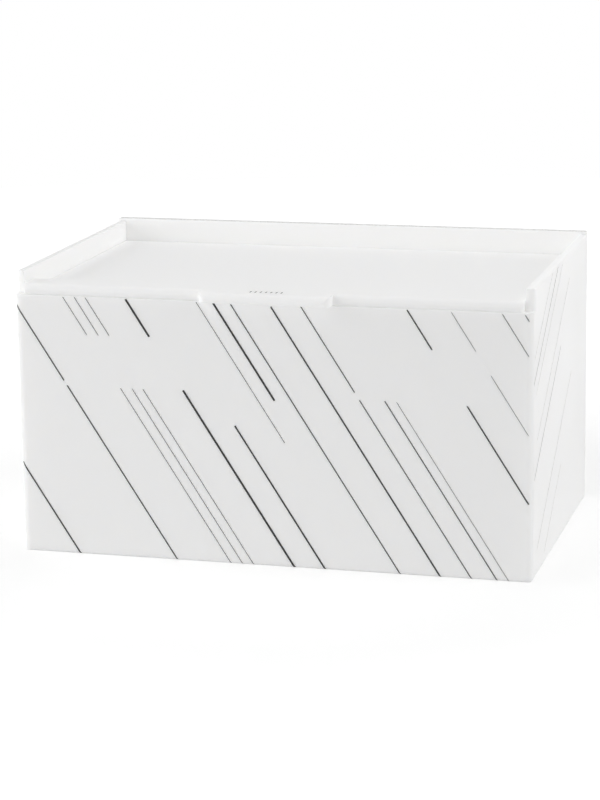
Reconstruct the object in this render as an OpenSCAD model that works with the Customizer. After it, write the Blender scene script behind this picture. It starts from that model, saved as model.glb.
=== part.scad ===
// False eyelash case: a box of glued opal acrylic sheets with a recessed lid that swings up
// on two pins, and a row of upright tiles that carry the lashes.
// Millimetres, +Z up, +X to the right, +Y to the back.
// The origin is the centre of the overall footprint, in the plane that the case stands on.

/* [Box] */
// Outer width of the box
body_w = 190; // [150:1:230]
// Outer depth of the box, without the finger tab
body_d = 118.6; // [112:0.1:160]
// Height of the side sheets
side_h = 104.5; // [96:0.5:140]
// How far the back sheet rises above the side sheets
back_rise = 1.2; // [0:0.1:4]
// How far the front sheet stays below the side sheets
front_drop = 8.1; // [6:0.1:11]
// Thickness of the upright sheets
wall = 3; // [2.6:0.1:4]
// Thickness of the floor sheet
base_t = 3; // [2:0.1:5]
// Radius of the outer vertical edges
edge_r = 2.4; // [0.5:0.1:2.5]
// Radius of the outer bottom edges
foot_r = 0.8; // [0.3:0.1:2.5]
// Radius of the top edges of the side and back sheets
rim_r = 0.8; // [0.2:0.1:1.2]
// Radius of the front sheet's top edge, under the pull strip
seat_r = 0.3; // [0.1:0.1:1.2]

/* [Lid] */
// Thickness of the lid plate
lid_t = 3; // [2:0.1:4]
// Gap between the lid and each side sheet
lid_side_gap = 0.3; // [0.2:0.1:1.5]
// Gap between the lid plate and the front sheet
lid_front_gap = 0.5; // [0.3:0.1:1.5]
// Gap between the lid plate and the back sheet
lid_back_gap = 0.5; // [0.3:0.1:1]
// Radius of the lid plate's back edges, which swing down past the back sheet
lid_back_r = 0.8; // [0.3:0.1:1.2]
// Gap between the pull strip and the top edge of the front sheet
lid_seat_gap = 0.2; // [0.1:0.1:1]
// Thickness of the pull strip on the lid's front edge
strip_t = 3.5; // [2:0.1:4.5]
// Depth of the pull strip from front to back, without the tab
strip_d = 12; // [8:0.5:20]
// How far the pull strip's face lies behind the front sheet's face
strip_set = 0.3; // [0:0.1:1.5]
// Radius of the pull strip's upper front edge
strip_r = 2.4; // [0.5:0.1:2.8]
// Radius of the pull strip's two front corners seen from above
strip_corner_r = 1.2; // [0.3:0.1:2.5]
// Width of the finger tab
tab_w = 48; // [30:0.1:80]
// How far the finger tab stands out from the front sheet's face
tab_out = 5; // [3:0.5:10]
// Radius of the finger tab's corners seen from above
tab_corner_r = 2.5; // [1:0.1:3]

/* [Hinge] */
// Radius of the hinge pins
pin_r = 0.8; // [0.5:0.05:1]
// Depth of each pin in the lid plate's end
pin_in_lid = 8; // [5:0.5:15]
// Depth of each pin in its side sheet
pin_in_wall = 1.8; // [1:0.1:2]
// Running gap round the pin in the side sheet
pin_run_gap = 0.08; // [0.02:0.01:0.1]
// Glue gap round the pin in the lid
pin_glue_gap = 0.02; // [0.01:0.01:0.05]
// Angle at which the open lid leans on the back sheet
open_angle = 110; // [95:1:115]
// Gap left between the leaning lid and the back sheet
lean_gap = 0.3; // [0.2:0.1:1]

/* [Tiles] */
// Number of lash tiles
tile_count = 10; // [2:1:10]
// Gap from the front sheet to the first tile, and from the last tile to the open lid
row_gap = 4.7; // [4.3:0.1:8]
// Thickness of a tile
tile_t = 2; // [1:0.1:3]
// Gap between the tiles' upper edges and the closed lid
tile_head_gap = 7.1; // [3:0.1:20]
// Radius of a tile's upper corners
tile_corner_r = 6; // [1:0.5:12]
// Width of the finger notch in a tile's upper edge
notch_w = 36; // [20:1:60]
// Depth of the finger notch
notch_d = 9; // [4:0.5:14]
// Gap between the tiles and the floor
tile_floor_gap = 0.3; // [0.1:0.1:1]
// Gap between a tile's end and the back of its groove
tile_end_gap = 0.6; // [0.3:0.1:1.5]
// Gap on each side of a tile in its groove
groove_gap = 0.4; // [0.2:0.1:0.8]
// Thickness of a tile guide behind its grooves
guide_back = 1.5; // [1:0.1:3]
// Depth of the grooves in a tile guide
groove_d = 3; // [2:0.5:5]
// How far the tile guides stay below the tiles' upper edges
guide_drop = 12.3; // [5:0.1:30]
// Wall beyond the first and the last groove of a tile guide
guide_end = 3; // [1.5:0.1:3.2]

/* [Hidden] */
$fn = 64;
TILES = [for (i = [1 : tile_count]) str("lash_tile_", i < 10 ? "0" : "", i)];

opal = [0.91, 0.91, 0.90];
opal_lid = [0.93, 0.93, 0.92];
tile_white = [0.96, 0.96, 0.95];
pin_steel = [0.70, 0.71, 0.72];
past = 1; // how far a cutting solid runs past the face that it cuts

// The box
face_y = (tab_out - body_d) / 2;
back_y = face_y + body_d;
front_in = face_y + wall;
back_in = back_y - wall;
half_w = body_w / 2;
half_in = half_w - wall;
in_w = 2 * half_in;
side_len = back_in - front_in;
front_h = side_h - front_drop;
back_h = side_h + back_rise;

// The lid, with its hinge axis in the middle of the plate. The open lid leans over the back
// sheet's upper edge, which sets how far in front of that sheet the axis lies.
lid_top = front_h + lid_seat_gap;
axis_drop = lid_t / 2;
axis_z = lid_top - axis_drop;
lid_half = half_in - lid_side_gap;
lean = open_angle - 90;
lean_set = axis_drop / cos(lean) + (back_h - axis_z) * tan(lean) + lean_gap;
axis_y = back_in - max(lean_set, lid_t);
lid_front = front_in + lid_front_gap;
lid_back = back_in - lid_back_gap;
swing_in = (lid_back - axis_y) * sin(lean) + axis_drop * cos(lean); // the open lid's reach forward
strip_front = face_y + strip_set;
nose_r = min(strip_r, strip_t - rim_r); // the tab's two front edges share its thickness

// The tiles, in an even row that fills the room between the front sheet and the open lid
tile_h = lid_top - lid_t - tile_head_gap - base_t - tile_floor_gap;
row_front = front_in + row_gap + tile_t / 2;
row_back = axis_y - swing_in - row_gap - tile_t / 2;
row_mid = (row_front + row_back) / 2;
tile_pitch = (row_back - row_front) / (tile_count - 1);
guide_h = tile_floor_gap + tile_h - guide_drop;
groove_w = tile_t + 2 * groove_gap;
guide_len = (tile_count - 1) * tile_pitch + groove_w + 2 * guide_end;
tile_half = half_in - guide_back - tile_end_gap;
notch_r = notch_w * notch_w / (8 * notch_d) + notch_d / 2;

// What comes off a square corner to round it: the corner is the origin, its sheet lies in +X +Y
module corner_waste(r) {
    difference() {
        translate([-past, -past])
            square(r + past);
        translate([r, r])
            circle(r);
    }
}

// A rectangle from the origin, with its own radius at each corner, anticlockwise from the origin
module sheet_outline(w, h, radii) {
    corners = [[0, 0], [w, 0], [w, h], [0, h]];
    flips = [[0, 0], [1, 0], [1, 1], [0, 1]];
    difference() {
        square([w, h]);
        for (k = [0 : 3])
            if (radii[k] > 0)
                translate(corners[k])
                    mirror([flips[k][0], 0])
                        mirror([0, flips[k][1]])
                            corner_waste(radii[k]);
    }
}

// Stands an outline in the Y-Z plane and runs it along X from x0 for a length
module along_x(x0, length) {
    translate([x0, 0, 0])
        rotate([90, 0, 90])
            linear_extrude(length)
                children();
}

// Stands an outline in the X-Z plane and runs it along Y from y0 for a length
module along_y(y0, length) {
    translate([0, y0 + length, 0])
        rotate([90, 0, 0])
            linear_extrude(length)
                children();
}

// An upright sheet across the box, with its outer face towards the front of its own frame
module cross_sheet(height, top_r) {
    intersection() {
        along_x(-half_w, body_w)
            sheet_outline(wall, height, [foot_r, 0, top_r, top_r]);
        translate([-half_w, 0, 0])
            linear_extrude(height)
                sheet_outline(body_w, wall, [edge_r, edge_r, 0, 0]);
        along_y(0, wall)
            translate([-half_w, 0])
                sheet_outline(body_w, height, [foot_r, foot_r, top_r, top_r]);
    }
}

module base_panel() {
    color(opal)
        translate([-half_in, front_in, 0])
            cube([in_w, side_len, base_t]);
}

module front_panel() {
    color(opal)
        translate([0, face_y, 0])
            cross_sheet(front_h, seat_r);
}

module back_panel() {
    color(opal)
        translate([0, back_y, 0])
            mirror([0, 1, 0])
                cross_sheet(back_h, rim_r);
}

// Right side sheet, with the blind hole that its hinge pin turns in. Its front corner is bare
// above the front sheet, and round there like the box's other upright edges.
module side_sheet() {
    difference() {
        along_y(front_in, side_len)
            translate([half_in, 0])
                sheet_outline(wall, side_h, [0, foot_r, rim_r, rim_r]);
        translate([half_w, front_in, front_h])
            linear_extrude(front_drop + past)
                mirror([1, 0])
                    corner_waste(edge_r);
        translate([half_in - past, axis_y, axis_z])
            rotate([0, 90, 0])
                cylinder(r = pin_r + pin_run_gap, h = pin_in_wall + past + pin_run_gap);
    }
}

module right_side() {
    color(opal) side_sheet();
}

module left_side() {
    color(opal) mirror([1, 0, 0]) side_sheet();
}

// Right tile guide: a strip against the side sheet, with an upright groove for each tile
module tile_guide() {
    depth = guide_back + groove_d;
    difference() {
        translate([half_in - depth, row_mid - guide_len / 2, base_t])
            cube([depth, guide_len, guide_h]);
        for (i = [0 : tile_count - 1])
            translate([half_in - depth - past, row_front + i * tile_pitch - groove_w / 2, base_t - past])
                cube([groove_d + past, groove_w, guide_h + 2 * past]);
    }
}

module right_tile_guide() {
    color(opal) tile_guide();
}

module left_tile_guide() {
    color(opal) mirror([1, 0, 0]) tile_guide();
}

// Flat lid from the front sheet to the back sheet, with a bore for a hinge pin in each end
module lid_plate() {
    color(opal_lid)
        difference() {
            along_x(-lid_half, 2 * lid_half)
                translate([lid_front, lid_top - lid_t])
                    sheet_outline(lid_back - lid_front, lid_t, [0, lid_back_r, lid_back_r, 0]);
            for (side = [-1, 1])
                translate([side * lid_half, axis_y, axis_z])
                    rotate([0, -90 * side, 0])
                        translate([0, 0, -past])
                            cylinder(r = pin_r + pin_glue_gap, h = pin_in_lid + past + pin_glue_gap);
        }
}

// Raised strip glued on the lid's front edge, drawn out in the middle to a finger tab
module pull_strip() {
    reach = tab_out + strip_set;
    color(opal_lid)
        translate([0, strip_front, lid_top])
            union() {
                intersection() {
                    along_x(-lid_half, 2 * lid_half)
                        sheet_outline(strip_d, strip_t, [0, 0, rim_r, nose_r]);
                    translate([-lid_half, 0, 0])
                        linear_extrude(strip_t)
                            sheet_outline(2 * lid_half, strip_d, [strip_corner_r, strip_corner_r, 0, 0]);
                }
                intersection() {
                    along_x(-tab_w / 2, tab_w)
                        translate([-reach, 0])
                            sheet_outline(strip_d + reach, strip_t, [rim_r, 0, rim_r, nose_r]);
                    translate([-tab_w / 2, -reach, 0])
                        linear_extrude(strip_t)
                            sheet_outline(tab_w, strip_d + reach, [tab_corner_r, tab_corner_r, 0, 0]);
                }
            }
}

// Right hinge pin, from its seat in the lid to its end in the side sheet
module hinge_pin() {
    translate([lid_half - pin_in_lid, axis_y, axis_z])
        rotate([0, 90, 0])
            cylinder(r = pin_r, h = pin_in_lid + lid_side_gap + pin_in_wall);
}

module hinge_pin_right() {
    color(pin_steel) hinge_pin();
}

module hinge_pin_left() {
    color(pin_steel) mirror([1, 0, 0]) hinge_pin();
}

// One upright tile of the row, counted from the front
module lash_tile(i) {
    color(tile_white)
        translate([-tile_half, row_front + i * tile_pitch + tile_t / 2, base_t + tile_floor_gap])
            rotate([90, 0, 0])
                linear_extrude(tile_t)
                    difference() {
                        sheet_outline(2 * tile_half, tile_h, [0, 0, tile_corner_r, tile_corner_r]);
                        translate([tile_half, tile_h - notch_d + notch_r])
                            circle(notch_r);
                    }
}

base_panel();
front_panel();
back_panel();
left_side();
right_side();
left_tile_guide();
right_tile_guide();
lid_plate();
pull_strip();
hinge_pin_left();
hinge_pin_right();
for (i = [0 : tile_count - 1])
    lash_tile(i);
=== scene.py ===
import math

import bmesh
import bpy
from mathutils import Matrix, Vector


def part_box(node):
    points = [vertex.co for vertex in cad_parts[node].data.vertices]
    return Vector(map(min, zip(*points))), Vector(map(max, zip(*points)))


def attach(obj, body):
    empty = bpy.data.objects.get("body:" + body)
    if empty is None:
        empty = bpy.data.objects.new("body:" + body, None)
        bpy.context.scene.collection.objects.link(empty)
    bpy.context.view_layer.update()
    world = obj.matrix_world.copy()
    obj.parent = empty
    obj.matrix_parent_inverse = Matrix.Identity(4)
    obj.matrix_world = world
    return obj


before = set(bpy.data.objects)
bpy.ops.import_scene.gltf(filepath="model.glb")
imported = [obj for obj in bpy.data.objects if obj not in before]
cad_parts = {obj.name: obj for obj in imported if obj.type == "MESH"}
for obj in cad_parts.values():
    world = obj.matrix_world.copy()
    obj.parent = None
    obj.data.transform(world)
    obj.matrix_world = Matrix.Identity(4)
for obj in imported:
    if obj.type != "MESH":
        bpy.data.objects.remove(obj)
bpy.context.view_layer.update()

# False eyelash case: a box of satin opal acrylic with printed stripes, a recessed matte lid on
# two pins, and a row of white lash tiles. Metres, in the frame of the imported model.

MM = 0.001

# Sizes of the sheets, read from the frame, and the radii of their outer edges

FRONT_LOW, FRONT_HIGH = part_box("front_panel")
STRIP_LOW, STRIP_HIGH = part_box("pull_strip")
HALF_WIDTH = FRONT_HIGH.x
FACE_Y = FRONT_LOW.y
BACK_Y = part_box("back_panel")[1].y
EDGE_RADIUS = 2.4 * MM
FOOT_RADIUS = 0.8 * MM

# Material helpers

def linear(hex_colour):
    """Turns an sRGB hex colour into the linear colour that a shader takes."""
    parts = [int(hex_colour[i:i + 2], 16) / 255 for i in (0, 2, 4)]
    return [p / 12.92 if p <= 0.04045 else ((p + 0.055) / 1.055) ** 2.4 for p in parts] + [1.0]


def add(tree, kind, links=None, **settings):
    """Adds a shader node. links gives each input a value or another node's output."""
    made = tree.nodes.new(kind)
    for name, value in settings.items():
        setattr(made, name, value)
    for socket, value in (links or {}).items():
        if isinstance(value, bpy.types.NodeSocket):
            tree.links.new(value, made.inputs[socket])
        else:
            made.inputs[socket].default_value = value
    return made


def new_material(name):
    """An empty node material, its tree, and the object's own coordinates."""
    material = bpy.data.materials.new(name)
    material.use_nodes = True
    material.node_tree.nodes.clear()
    place = add(material.node_tree, "ShaderNodeTexCoord")
    return material, material.node_tree, place.outputs["Object"]


def finish_material(material, surface):
    """Joins the finished surface to the material's output."""
    add(material.node_tree, "ShaderNodeOutputMaterial", {"Surface": surface})
    return material


def per_metre(size_mm):
    """Texture scale for a feature of that real size."""
    return 1000 / size_mm


def seen_directly(tree):
    """Is 1 for rays from the camera, also by way of a mirror or glass, and 0 for all others."""
    path = add(tree, "ShaderNodeLightPath")
    mirrored = add(tree, "ShaderNodeMath", {
        0: path.outputs["Is Camera Ray"], 1: path.outputs["Is Glossy Ray"]}, operation="MAXIMUM")
    seen = add(tree, "ShaderNodeMath", {
        0: mirrored.outputs["Value"], 1: path.outputs["Is Transmission Ray"]}, operation="MAXIMUM")
    return seen.outputs["Value"]


# Acrylic sheet. The sizes of its patterns are in millimetres.

ACRYLIC_IOR = 1.49
SCATTER_TINT = (1.0, 0.98, 0.94)
OPAL_SCATTER = 2.0 * MM
# Painted glow: light that every opal sheet gives off, which lifts the shade in gaps and corners
OPAL_PAINTED_GLOW = 0.1
OPAL_COLOURS = ("FBFBFA", "F9F9F8")
OPAL_CLOUDS = 45
HAND_MARKS = 18
# Size of the noise that mottles the grey drawn on faces that look up
EDGE_MOTTLE = 0.6
# How far a face looks up, from 0 to 1, where the upper edge's tone starts and where it is full
EDGE_STARTS = 0.45
EDGE_FULL = 0.85

TILE_SCATTER = 0.8 * MM
TILE_COLOURS = ("F6F6F4", "F2F2F0")
TILE_CLOUDS = 30
RUB_MARKS = (60, 8, 1.2)


def opal_sheet(name, edge_colour, roughness, grit_mm, grit_depth_mm):
    """Opal acrylic: clear PMMA filled with white pigment and cast between plates. The pigment
    spreads the light a few millimetres inside the sheet, so edges glow and shade stays soft,
    and the rubbed surface gives a wide, faint sheen. Each sheet also gives off an even painted
    glow, a painted light that lifts the shade in gaps and corners. Faces that look up take the
    edge colour, mottled by fine noise, and a grey edge colour draws a fine dark line there."""
    material, tree, place = new_material(name)
    cloud = add(tree, "ShaderNodeTexNoise", {
        "Vector": place, "Scale": per_metre(OPAL_CLOUDS), "Detail": 2.0, "Roughness": 0.5})
    grit = add(tree, "ShaderNodeTexNoise", {
        "Vector": place, "Scale": per_metre(grit_mm), "Detail": 3.0, "Roughness": 0.6})
    handling = add(tree, "ShaderNodeTexNoise", {
        "Vector": place, "Scale": per_metre(HAND_MARKS), "Detail": 4.0, "Roughness": 0.55,
        "Distortion": 0.4})
    # Pigment lies a little unevenly in the cast sheet
    face_tone = add(tree, "ShaderNodeMix", {
        "Factor": cloud.outputs["Fac"], "A": linear(OPAL_COLOURS[0]), "B": linear(OPAL_COLOURS[1])},
        data_type="RGBA")
    # The upper edge is where the sheet's surface looks up, and takes the edge colour, mottled by
    # fine noise
    facing = add(tree, "ShaderNodeTexCoord")
    height = add(tree, "ShaderNodeSeparateXYZ", {"Vector": facing.outputs["Normal"]})
    upward = add(tree, "ShaderNodeMapRange", {
        "Value": height.outputs["Z"], "From Min": EDGE_STARTS, "From Max": EDGE_FULL})
    edge_mottle_noise = add(tree, "ShaderNodeTexNoise", {
        "Vector": place, "Scale": per_metre(EDGE_MOTTLE), "Detail": 3.0, "Roughness": 0.6})
    edge_tone = add(tree, "ShaderNodeMix", {
        "Factor": edge_mottle_noise.outputs["Fac"], "A": linear(edge_colour),
        "B": face_tone.outputs["Result"]}, data_type="RGBA")
    tone = add(tree, "ShaderNodeMix", {
        "Factor": upward.outputs["Result"], "A": face_tone.outputs["Result"],
        "B": edge_tone.outputs["Result"]}, data_type="RGBA")
    # Rubbed and handled patches are a little glossier
    sheen = add(tree, "ShaderNodeMapRange", {
        "Value": handling.outputs["Fac"], "From Min": 0.3, "From Max": 0.7,
        "To Min": roughness[0], "To Max": roughness[1]})
    relief = add(tree, "ShaderNodeBump", {
        "Height": grit.outputs["Fac"], "Strength": 0.35, "Distance": grit_depth_mm * MM})
    # The emission is a painted glow, which lifts the shade in gaps and corners
    shader = add(tree, "ShaderNodeBsdfPrincipled", {
        "Base Color": tone.outputs["Result"], "Roughness": sheen.outputs["Result"],
        "IOR": ACRYLIC_IOR, "Subsurface Weight": 1.0, "Subsurface Radius": SCATTER_TINT,
        "Subsurface Scale": OPAL_SCATTER, "Normal": relief.outputs["Normal"],
        "Emission Color": linear("FFFFFF"), "Emission Strength": OPAL_PAINTED_GLOW},
        subsurface_method="RANDOM_WALK")
    return finish_material(material, shader.outputs["BSDF"])


def tile_sheet():
    """Tile: polished white acrylic, cut by laser. Denser pigment than the box, with a smooth
    face that takes and lets go the lash strips' glue, and faint rub marks along its width."""
    material, tree, place = new_material("polished_white_acrylic")
    stretched = add(tree, "ShaderNodeMapping", {
        "Vector": place, "Scale": [per_metre(size) for size in RUB_MARKS]})
    rub = add(tree, "ShaderNodeTexNoise", {
        "Vector": stretched.outputs["Vector"], "Scale": 1.0, "Detail": 3.0, "Roughness": 0.6})
    cloud = add(tree, "ShaderNodeTexNoise", {
        "Vector": place, "Scale": per_metre(TILE_CLOUDS), "Detail": 2.0, "Roughness": 0.5})
    tone = add(tree, "ShaderNodeMix", {
        "Factor": cloud.outputs["Fac"], "A": linear(TILE_COLOURS[0]), "B": linear(TILE_COLOURS[1])},
        data_type="RGBA")
    gloss = add(tree, "ShaderNodeMapRange", {
        "Value": rub.outputs["Fac"], "From Min": 0.35, "From Max": 0.65,
        "To Min": 0.16, "To Max": 0.28})
    shader = add(tree, "ShaderNodeBsdfPrincipled", {
        "Base Color": tone.outputs["Result"], "Roughness": gloss.outputs["Result"],
        "IOR": ACRYLIC_IOR, "Subsurface Weight": 1.0, "Subsurface Radius": SCATTER_TINT,
        "Subsurface Scale": TILE_SCATTER})
    return finish_material(material, shader.outputs["BSDF"])


# Wire, ink and card. The sizes of their patterns are in millimetres.

WIRE_COLOURS = ("B4B5B6", "C9CACB")
DRAWN_LINES = (6, 0.12, 0.12)
INK_IOR = 1.5
INK_ROUGHNESS = 0.42
INK_DENSITY = 6
# The real beads are half as wide, and are drawn coarser so that they show
INK_BEADS = 0.12
CARD_COLOURS = ("F4F4F4", "F1F1F1")
CARD_FIBRES = 1.5
# The card's own light as the camera sees it, near the case and far away, and where it changes
GLOW_NEAR = 0.3
GLOW_FAR = 0.6
FADE_START = 0.15
FADE_END = 0.4


def drawn_wire():
    """Hinge pin: stainless wire, drawn through a die and cut to length. The die leaves fine
    lines along the wire, which stretch its highlights into a narrow band."""
    material, tree, place = new_material("drawn_stainless_wire")
    along = add(tree, "ShaderNodeMapping", {
        "Vector": place, "Scale": [per_metre(size) for size in DRAWN_LINES]})
    lines = add(tree, "ShaderNodeTexNoise", {
        "Vector": along.outputs["Vector"], "Scale": 1.0, "Detail": 2.0})
    tone = add(tree, "ShaderNodeMix", {
        "Factor": lines.outputs["Fac"], "A": linear(WIRE_COLOURS[0]), "B": linear(WIRE_COLOURS[1])},
        data_type="RGBA")
    polish = add(tree, "ShaderNodeMapRange", {
        "Value": lines.outputs["Fac"], "To Min": 0.22, "To Max": 0.38})
    relief = add(tree, "ShaderNodeBump", {
        "Height": lines.outputs["Fac"], "Strength": 0.3, "Distance": 0.01 * MM})
    shader = add(tree, "ShaderNodeBsdfPrincipled", {
        "Base Color": tone.outputs["Result"], "Metallic": 1.0,
        "Roughness": polish.outputs["Result"], "Normal": relief.outputs["Normal"]})
    return finish_material(material, shader.outputs["BSDF"])


def cured_ink(name, colours):
    """Print: ink jetted on the sheet and cured by ultraviolet light. It stands up by a few
    hundredths of a millimetre, in tiny beads that make it satin rather than glossy."""
    material, tree, place = new_material(name)
    beads = add(tree, "ShaderNodeTexVoronoi", {"Vector": place, "Scale": per_metre(INK_BEADS)})
    density = add(tree, "ShaderNodeTexNoise", {
        "Vector": place, "Scale": per_metre(INK_DENSITY), "Detail": 3.0, "Roughness": 0.6})
    tone = add(tree, "ShaderNodeMix", {
        "Factor": density.outputs["Fac"], "A": linear(colours[0]), "B": linear(colours[1])},
        data_type="RGBA")
    relief = add(tree, "ShaderNodeBump", {
        "Height": beads.outputs["Distance"], "Strength": 0.25, "Distance": 0.01 * MM})
    shader = add(tree, "ShaderNodeBsdfPrincipled", {
        "Base Color": tone.outputs["Result"], "Roughness": INK_ROUGHNESS, "IOR": INK_IOR,
        "Normal": relief.outputs["Normal"]})
    return finish_material(material, shader.outputs["BSDF"])


def paper_floor():
    """Seamless white card under and behind the case. The camera and glossy surfaces see it
    near white, with the case's own shadow left on it, and fading into the backdrop."""
    material, tree, place = new_material("seamless_card")
    fibre = add(tree, "ShaderNodeTexNoise", {
        "Vector": place, "Scale": per_metre(CARD_FIBRES), "Detail": 4.0, "Roughness": 0.6})
    tone = add(tree, "ShaderNodeMix", {
        "Factor": fibre.outputs["Fac"], "A": linear(CARD_COLOURS[0]), "B": linear(CARD_COLOURS[1])},
        data_type="RGBA")
    card = add(tree, "ShaderNodeBsdfDiffuse", {"Color": tone.outputs["Result"]})
    reach = add(tree, "ShaderNodeVectorMath", {0: place}, operation="LENGTH")
    fade = add(tree, "ShaderNodeMapRange", {
        "Value": reach.outputs["Value"], "From Min": FADE_START, "From Max": FADE_END,
        "To Min": GLOW_NEAR, "To Max": GLOW_FAR})
    glow = add(tree, "ShaderNodeEmission", {
        "Color": linear("FFFFFF"), "Strength": fade.outputs["Result"]})
    lit = add(tree, "ShaderNodeAddShader", {0: card.outputs["BSDF"], 1: glow.outputs["Emission"]})
    surface = add(tree, "ShaderNodeMixShader", {
        0: seen_directly(tree), 1: card.outputs["BSDF"], 2: lit.outputs["Shader"]})
    return finish_material(material, surface.outputs["Shader"])


# How the sheets' faces are finished: rubbed for the box, and sanded for the lid. The real grit
# is under a tenth of a millimetre, and is drawn coarser so that it shows.

RUBBED = {"roughness": (0.34, 0.42), "grit_mm": 0.35, "grit_depth_mm": 0.006}
SANDED = {"roughness": (0.46, 0.54), "grit_mm": 0.22, "grit_depth_mm": 0.01}

# How their upper edges are coloured, on faces that look up: near the sheet's own white, a faint
# grey line, or a darker grey one

PLAIN_EDGE_WHITE = "FAFAF9"
FAINT_EDGE_GREY = "D8D8D7"
DARK_EDGE_GREY = "A0A09F"

BOX_ACRYLIC = opal_sheet("satin_opal_acrylic", PLAIN_EDGE_WHITE, **RUBBED)
DARK_EDGED_ACRYLIC = opal_sheet("dark_edged_opal_acrylic", DARK_EDGE_GREY, **RUBBED)
FAINT_EDGED_ACRYLIC = opal_sheet("faint_edged_opal_acrylic", FAINT_EDGE_GREY, **RUBBED)
LID_ACRYLIC = opal_sheet("matte_opal_acrylic", PLAIN_EDGE_WHITE, **SANDED)
TILE_ACRYLIC = tile_sheet()
PIN_WIRE = drawn_wire()
BLACK_INK = cured_ink("cured_black_ink", ("161616", "1E1E1E"))
GREY_INK = cured_ink("cured_grey_ink", ("8C8C8C", "969696"))

FINISHES = {
    "base_panel": BOX_ACRYLIC, "front_panel": BOX_ACRYLIC, "back_panel": DARK_EDGED_ACRYLIC,
    "left_side": FAINT_EDGED_ACRYLIC, "right_side": BOX_ACRYLIC,
    "left_tile_guide": BOX_ACRYLIC, "right_tile_guide": BOX_ACRYLIC,
    "lid_plate": LID_ACRYLIC, "pull_strip": LID_ACRYLIC,
    "hinge_pin_left": PIN_WIRE, "hinge_pin_right": PIN_WIRE,
}
for name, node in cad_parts.items():
    node.data.materials.clear()
    node.data.materials.append(FINISHES.get(name, TILE_ACRYLIC))

# Print on the sheets

INK_HEIGHT = 0.04 * MM
INK_SHOULDER = 0.6 * INK_HEIGHT
INK_SINK = 0.02 * MM
BEND_STEP = 0.4 * MM
NO_RUN = 1e-9


class FlatFace:
    """A flat face as the printer sees it. A place on it is given across and up from its origin."""

    def __init__(self, across, up, out, origin):
        self.across, self.up, self.out = Vector(across), Vector(up), Vector(out)
        self.origin = Vector(origin)

    def stops(self, start, end):
        """Points along a line on the face: here its ends."""
        return [start, end]

    def at(self, across, up):
        """Place and outward direction of a point."""
        return self.origin + self.across * across + self.up * up, self.out


class BoxFace(FlatFace):
    """A face of the box: flat, with round upright edges and a round bottom edge. A place on it
    is given unrolled: across from its middle, and up."""

    def __init__(self, across, out, origin, half):
        super().__init__(across, (0, 0, 1), out, origin)
        self.flat = half - EDGE_RADIUS

    def stops(self, start, end):
        """Points along a line: its ends, and close steps where the face bends."""
        run = end - start
        cuts = {0.0, 1.0}
        for edge in (self.flat, -self.flat):
            if abs(run.x) > NO_RUN:
                cuts.add((edge - start.x) / run.x)
        if abs(run.y) > NO_RUN:
            cuts.add((FOOT_RADIUS - start.y) / run.y)
        cuts = sorted(c for c in cuts if 0 <= c <= 1)
        found = [start]
        for a, b in zip(cuts, cuts[1:]):
            middle = start + run * (a + b) / 2
            bent = abs(middle.x) > self.flat or middle.y < FOOT_RADIUS
            steps = max(1, math.ceil(run.length * (b - a) / BEND_STEP)) if bent else 1
            found += [start + run * (a + (b - a) * k / steps) for k in range(1, steps + 1)]
        return found

    def at(self, across, up):
        """Place and outward direction of an unrolled point."""
        turn = max(0.0, abs(across) - self.flat) / EDGE_RADIUS
        dip = max(0.0, FOOT_RADIUS - up) / FOOT_RADIUS
        side = math.copysign(1, across)
        x = side * (min(abs(across), self.flat) + EDGE_RADIUS * math.sin(turn))
        z = max(up, FOOT_RADIUS) - FOOT_RADIUS * math.sin(dip)
        back = EDGE_RADIUS * (1 - math.cos(turn)) + FOOT_RADIUS * (1 - math.cos(dip))
        place = self.origin + self.across * x + Vector((0, 0, z)) - self.out * back
        out = (self.across * side * math.sin(turn) + self.out * math.cos(turn)) * math.cos(dip)
        return place, (out - Vector((0, 0, math.sin(dip)))).normalized()


def ink_line(mesh, face, start, end, width):
    """A printed line: a low, domed strip that follows the face."""
    start, end = Vector(start), Vector(end)
    aside = (end - start).orthogonal().normalized() * width / 2
    profile = ((-1, -INK_SINK), (-1, INK_SHOULDER), (0, INK_HEIGHT), (1, INK_SHOULDER),
               (1, -INK_SINK))
    rings = []
    for point in face.stops(start, end):
        ring = []
        for offset, height in profile:
            place, out = face.at(*(point + aside * offset))
            ring.append(mesh.verts.new(place + out * height))
        rings.append(ring)
    count = len(profile)
    for a, b in zip(rings, rings[1:]):
        for k in range(count):
            n = (k + 1) % count
            mesh.faces.new((a[k], a[n], b[n], b[k]))
    mesh.faces.new(rings[0][::-1])
    mesh.faces.new(rings[-1])


def printed(name, body, ink, face, lines):
    """One piece with all the lines printed on a face, which rides on the face's body."""
    mesh = bmesh.new()
    for start, end, width in lines:
        ink_line(mesh, face, start, end, width)
    bmesh.ops.recalc_face_normals(mesh, faces=mesh.faces)
    data = bpy.data.meshes.new(name)
    mesh.to_mesh(data)
    mesh.free()
    data.materials.append(ink)
    piece = bpy.data.objects.new(name, data)
    bpy.context.scene.collection.objects.link(piece)
    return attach(piece, body)


def slanted(rows, slope, level, low, high):
    """Lines of one slope. Each row gives where the line crosses the level, its stretches of
    height and its width, all in millimetres. Lines are cut at the print's edges."""
    lines = []
    for across, stretches, width in rows:
        for top, bottom in stretches:
            ends = []
            for up in (top, bottom):
                x = across + slope * (up - level)
                x_in = min(max(x, low), high)
                up += (x_in - x) / slope
                ends.append(Vector((x_in, up)) * MM)
            lines.append((*ends, width * MM))
    return lines


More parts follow.
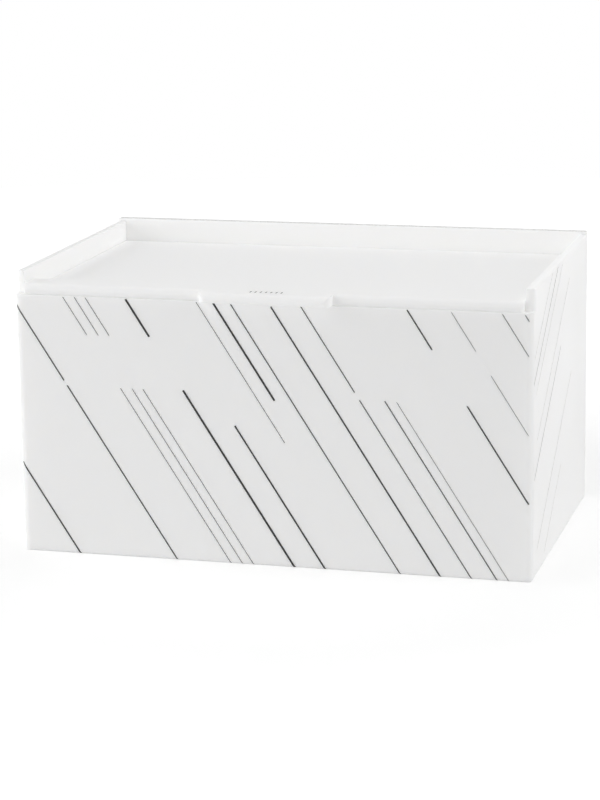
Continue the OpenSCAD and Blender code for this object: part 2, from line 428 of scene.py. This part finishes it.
# The front's print: fine lines that lean to the left, in groups of uneven weight, with bare
# fields among them. In millimetres: across is from the middle of the front, where each line
# crosses the level, and heights are from the bottom edge.
FRONT_LEVEL = 50
FRONT_SLOPE = -0.638
FRONT_LEFT_END = -96.2
FRONT_RIGHT_END = 94.0
BOTTOM = -0.2
FRONT_ROWS = (
    (-104.7, ((33.7, BOTTOM),), 0.55),
    (-67.3, ((92.3, 65.1), (63.3, BOTTOM)), 0.46),
    (-46.95, ((96.0, 82.3), (63.2, BOTTOM)), 0.22),
    (-42.55, ((96.0, 82.3), (63.2, BOTTOM)), 0.22),
    (-38.4, ((96.0, 82.3), (63.3, BOTTOM)), 0.22),
    (-23.1, ((96.0, 82.6), (63.5, BOTTOM)), 0.77),
    (-11.7, ((51.4, BOTTOM),), 0.6),
    (3.3, ((96.0, 46.0),), 0.21),
    (9.55, ((95.8, 61.3),), 0.73),
    (15.9, ((95.6, BOTTOM),), 0.39),
    (30.45, ((95.3, BOTTOM),), 0.55),
    (41.7, ((95.8, 65.7), (63.0, BOTTOM)), 0.35),
    (50.9, ((63.1, BOTTOM),), 0.36),
    (55.05, ((62.9, BOTTOM),), 0.18),
    (80.1, ((96.0, 82.2), (62.7, 28.4)), 0.49),
    (95.65, ((95.8, 82.3), (73.9, 53.1)), 0.17),
    (113.55, ((95.8, 81.2),), 0.22),
    (121.5, ((95.7, 93.5),), 0.28),
)
FRONT = BoxFace((1, 0, 0), (0, -1, 0), (0, FACE_Y, 0), HALF_WIDTH)
printed("front_print", "case", BLACK_INK, FRONT,
        slanted(FRONT_ROWS, FRONT_SLOPE, FRONT_LEVEL, FRONT_LEFT_END, FRONT_RIGHT_END))

# The sides' print: finer lines in grey ink, which rise towards the back. In millimetres:
# across is from the front face, and heights are from the bottom edge.
SIDE_LEVEL = 50
SIDE_SLOPE = 1.44
SIDE_MARGIN = 2.0
SIDE_TOP = 103.6
SIDE_ROWS = (
    (-38.2, ((SIDE_TOP, 79.5),), 0.16),
    (-26.8, ((SIDE_TOP, 70.5),), 0.4),
    (-16.3, ((SIDE_TOP, 66.0),), 0.14),
    (10.7, ((95.0, 49.0),), 0.14),
    (24.5, ((73.0, 36.0),), 0.36),
    (69.1, ((58.5, 9.0),), 0.16),
    (91.3, ((28.0, 4.0),), 0.14),
)
SIDE_DEPTH = BACK_Y - FACE_Y
SIDE_MIDDLE = (BACK_Y + FACE_Y) / 2


def side_lines():
    """The sides' rows, moved so that across is from the middle of a side."""
    half = SIDE_DEPTH / MM / 2
    moved = [(across - half, stretches, width) for across, stretches, width in SIDE_ROWS]
    return slanted(moved, SIDE_SLOPE, SIDE_LEVEL, SIDE_MARGIN - half, half - SIDE_MARGIN)


RIGHT = BoxFace((0, 1, 0), (1, 0, 0), (HALF_WIDTH, SIDE_MIDDLE, 0), SIDE_DEPTH / 2)
LEFT = BoxFace((0, 1, 0), (-1, 0, 0), (-HALF_WIDTH, SIDE_MIDDLE, 0), SIDE_DEPTH / 2)
printed("right_print", "case", GREY_INK, RIGHT, side_lines())
printed("left_print", "case", GREY_INK, LEFT, side_lines())

# The pull tab's print: a short row of small grey ticks that tells the finger where to lift
TICKS = 7
TICK_PITCH = 1.9 * MM
TICK_HEIGHT = 2.4 * MM
TICK_WIDTH = 0.6 * MM
TICK_MIDDLE = -0.4 * MM
TICK_SETBACK = 5.1 * MM
TAB_TOP = FlatFace((1, 0, 0), (0, 1, 0), (0, 0, 1),
                   (TICK_MIDDLE, STRIP_LOW.y + TICK_SETBACK, STRIP_HIGH.z))


def ticks():
    """The row of ticks, side by side about the tab's middle."""
    places = [(k - (TICKS - 1) / 2) * TICK_PITCH for k in range(TICKS)]
    return [((x, 0), (x, TICK_HEIGHT), TICK_WIDTH) for x in places]


printed("tab_print", "lid", GREY_INK, TAB_TOP, ticks())

# The tiles' print: thin grey rules, one for each row of lashes
TILE_COUNT = 10
RULE_PITCH = 9.0 * MM
RULE_FIRST = 8.0 * MM
RULE_COUNT = 8
RULE_MARGIN = 8.0 * MM
RULE_WIDTH = 0.25 * MM


def rules(width):
    """The rules of a tile of that width, from its bottom edge up."""
    end = width / 2 - RULE_MARGIN
    return [((-end, up), (end, up), RULE_WIDTH)
            for up in (RULE_FIRST + k * RULE_PITCH for k in range(RULE_COUNT))]


for number in range(1, TILE_COUNT + 1):
    low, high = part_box(f"lash_tile_{number:02d}")
    tile_face = FlatFace((1, 0, 0), (0, 0, 1), (0, -1, 0), ((low.x + high.x) / 2, low.y, low.z))
    printed(f"tile_rules_{number:02d}", f"tile_{number:02d}", GREY_INK, tile_face,
            rules(high.x - low.x))

# Floor, light and camera

FLOOR_RADIUS = 0.9
FLOOR_SIDES = 96


def floor():
    """A round white card below the case, which ends where the lit backdrop takes over."""
    mesh = bmesh.new()
    bmesh.ops.create_circle(mesh, cap_ends=True, radius=FLOOR_RADIUS, segments=FLOOR_SIDES)
    data = bpy.data.meshes.new("floor")
    mesh.to_mesh(data)
    mesh.free()
    data.materials.append(paper_floor())
    card = bpy.data.objects.new("floor", data)
    bpy.context.scene.collection.objects.link(card)


def softbox(name, place, aim, size, power):
    """A square soft lamp at a place, turned to a point."""
    data = bpy.data.lights.new(name, "AREA")
    data.shape = "SQUARE"
    data.size = size
    data.energy = power
    lamp = bpy.data.objects.new(name, data)
    lamp.location = place
    lamp.rotation_mode = "QUATERNION"
    lamp.rotation_quaternion = (Vector(aim) - Vector(place)).to_track_quat("-Z", "Y")
    bpy.context.scene.collection.objects.link(lamp)


def studio_air(strength):
    """Even light from all round, as in a white tent. The camera sees plain white."""
    world = bpy.data.worlds.new("studio")
    world.use_nodes = True
    tree = world.node_tree
    tree.nodes.clear()
    white = add(tree, "ShaderNodeBackground", {"Color": linear("FFFFFF"), "Strength": 1.0})
    air = add(tree, "ShaderNodeBackground", {"Color": linear("FFFFFF"), "Strength": strength})
    mixed = add(tree, "ShaderNodeMixShader", {
        0: seen_directly(tree), 1: air.outputs["Background"], 2: white.outputs["Background"]})
    add(tree, "ShaderNodeOutputWorld", {"Surface": mixed.outputs["Shader"]})
    bpy.context.scene.world = world


AIR_STRENGTH = 0.31
# Each lamp's name, its place, what it is turned to, its side in metres and its power in watts
SOFTBOXES = (
    ("right_softbox", (1.3, -0.15, 0.6), (0.05, 0, 0.05), 1.0, 5.7),
    ("left_softbox", (-1.2, -0.3, 0.55), (-0.05, 0, 0.05), 0.9, 5.2),
    ("front_softbox", (-0.9, -1.15, 0.4), (-0.05, 0, 0.05), 0.9, 4.5),
    ("top_softbox", (0.1, 0.3, 1.4), (0, 0, 0.1), 1.2, 4.2),
    ("back_softbox", (0.2, 1.4, 0.6), (0, 0, 0.05), 1.0, 0.8),
)

floor()
studio_air(AIR_STRENGTH)
for lamp in SOFTBOXES:
    softbox(*lamp)

# The camera stands where it sees the case's corners and edges as the photograph shows them
CAMERA_PLACE = (0.2480, -0.9064, 0.2706)
CAMERA_HEADING = math.radians(15.541)
CAMERA_DIP = math.radians(13.306)
CAMERA_ROLL = math.radians(-0.901)
CAMERA_LENS = 115.25
CAMERA_SENSOR = 36
CAMERA_NEAR = 0.01

view = bpy.data.cameras.new("camera")
view.lens = CAMERA_LENS
view.sensor_width = CAMERA_SENSOR
view.clip_start = CAMERA_NEAR
camera = bpy.data.objects.new("camera", view)
camera.matrix_world = (
    Matrix.Translation(CAMERA_PLACE)
    @ Matrix.Rotation(CAMERA_HEADING, 4, "Z")
    @ Matrix.Rotation(math.pi / 2 - CAMERA_DIP, 4, "X")
    @ Matrix.Rotation(CAMERA_ROLL, 4, "Z")
)
bpy.context.scene.collection.objects.link(camera)
bpy.context.scene.camera = camera
bpy.context.scene.view_settings.view_transform = "Standard"
